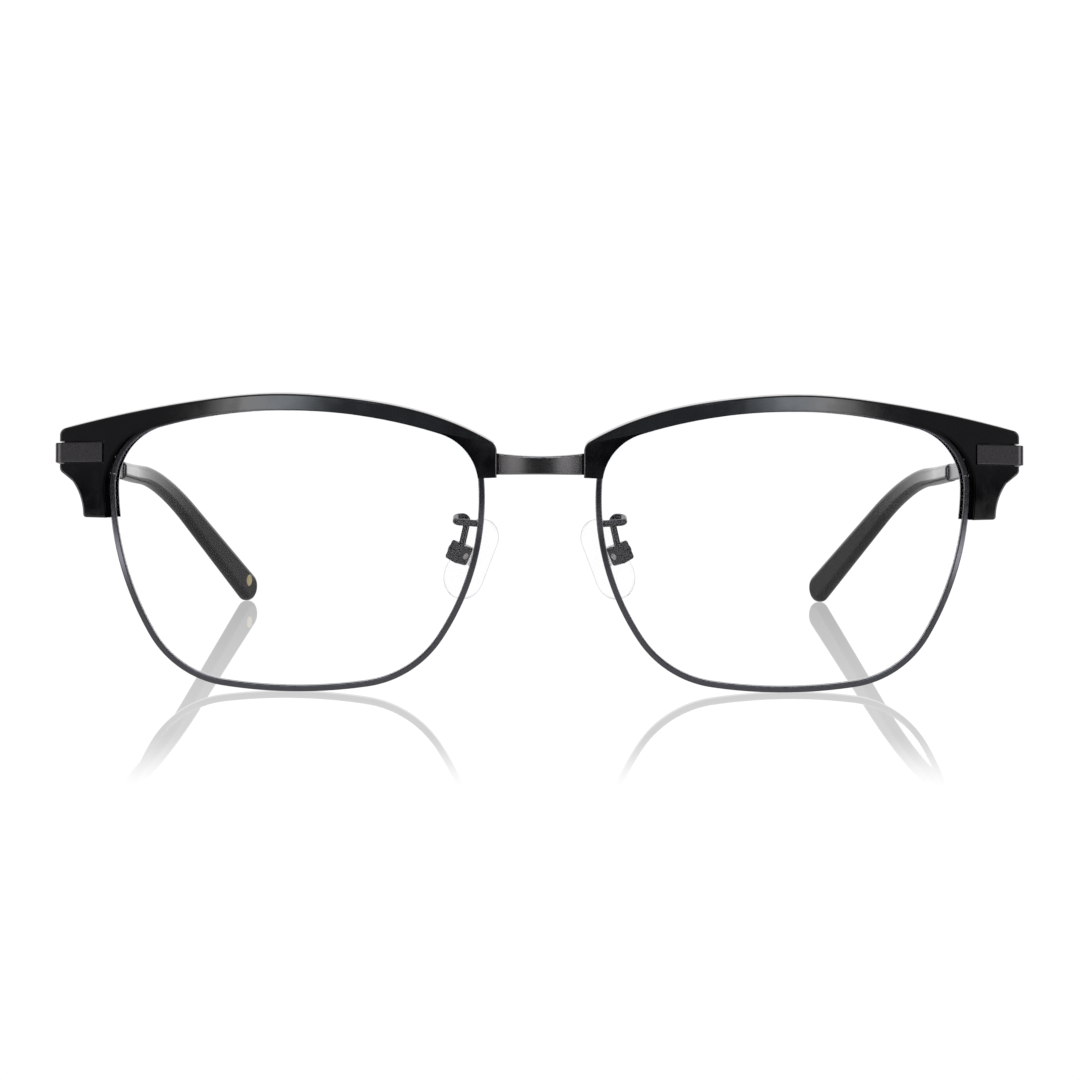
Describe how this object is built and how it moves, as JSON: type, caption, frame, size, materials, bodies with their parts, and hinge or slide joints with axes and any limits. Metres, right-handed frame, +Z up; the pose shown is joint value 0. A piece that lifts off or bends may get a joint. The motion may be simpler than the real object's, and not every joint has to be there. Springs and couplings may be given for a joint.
{
  "type": "half rim eyeglasses",
  "caption": "Browline eyeglasses: metal rims under glossy black brows, clear lenses, rocking nose pads and folding metal temples with black tips.",
  "frame": {"origin": "centre of the footprint on the table, with the frame standing on its rims and temple tips", "axes": "+Z up, +X towards the wearer's left along the front, +Y from the front back along the temples"},
  "size_m": [0.1426, 0.138, 0.0436],
  "materials": {
    "brow": "glossy black acetate",
    "tip": "semi-gloss black acetate",
    "lens": "clear plastic lens with an anti-reflection coat",
    "nose_pad": "clear soft plastic",
    "pad_core": "clear hard plastic",
    "rim_metal": "dark gunmetal plating",
    "endpiece_metal": "brushed gunmetal",
    "temple_metal": "satin gunmetal",
    "screw_steel": "plain steel screws"
  },
  "bodies": {
    "front": {"bridge": "endpiece_metal", "lens_left": "lens", "lens_right": "lens", "rim_left": "rim_metal", "rim_right": "rim_metal", "rim_screw_left": "screw_steel", "rim_screw_right": "screw_steel", "brow_left": "brow", "brow_right": "brow", "brow_screw_left": "screw_steel", "brow_screw_right": "screw_steel", "endpiece_left": "endpiece_metal", "endpiece_right": "endpiece_metal", "hinge_front_left": "rim_metal", "hinge_front_right": "rim_metal", "hinge_screw_left": "screw_steel", "hinge_screw_right": "screw_steel", "pad_arm_left": "rim_metal", "pad_arm_right": "rim_metal", "pad_box_left": "rim_metal", "pad_box_right": "rim_metal", "pad_screw_left": "screw_steel", "pad_screw_right": "screw_steel"},
    "temple_left": {"temple_left": "temple_metal", "temple_tip_left": "tip", "hinge_temple_left": "rim_metal"},
    "temple_right": {"temple_right": "temple_metal", "temple_tip_right": "tip", "hinge_temple_right": "rim_metal"},
    "nose_pad_left": {"nose_pad_left": "nose_pad", "pad_insert_left": "pad_core"},
    "nose_pad_right": {"nose_pad_right": "nose_pad", "pad_insert_right": "pad_core"}
  },
  "joints": [
    {"name": "temple_left_fold", "type": "hinge", "parent": "front", "child": "temple_left", "pos_m": [0.0686, -0.0528, 0.03365], "axis": [0, 0.1071, 0.9942], "range_deg": [0, 84]},
    {"name": "temple_right_fold", "type": "hinge", "parent": "front", "child": "temple_right", "pos_m": [-0.0686, -0.0528, 0.03365], "axis": [0, -0.1071, -0.9942], "range_deg": [0, 76]},
    {"name": "nose_pad_left_rock", "type": "hinge", "parent": "front", "child": "nose_pad_left", "pos_m": [0.01175, -0.06184, 0.01998], "axis": [0.6669, 0.667, 0.3323], "range_deg": [-8, 8]},
    {"name": "nose_pad_right_rock", "type": "hinge", "parent": "front", "child": "nose_pad_right", "pos_m": [-0.01175, -0.06184, 0.01998], "axis": [0.6669, -0.667, -0.3323], "range_deg": [-8, 8]}
  ]
}
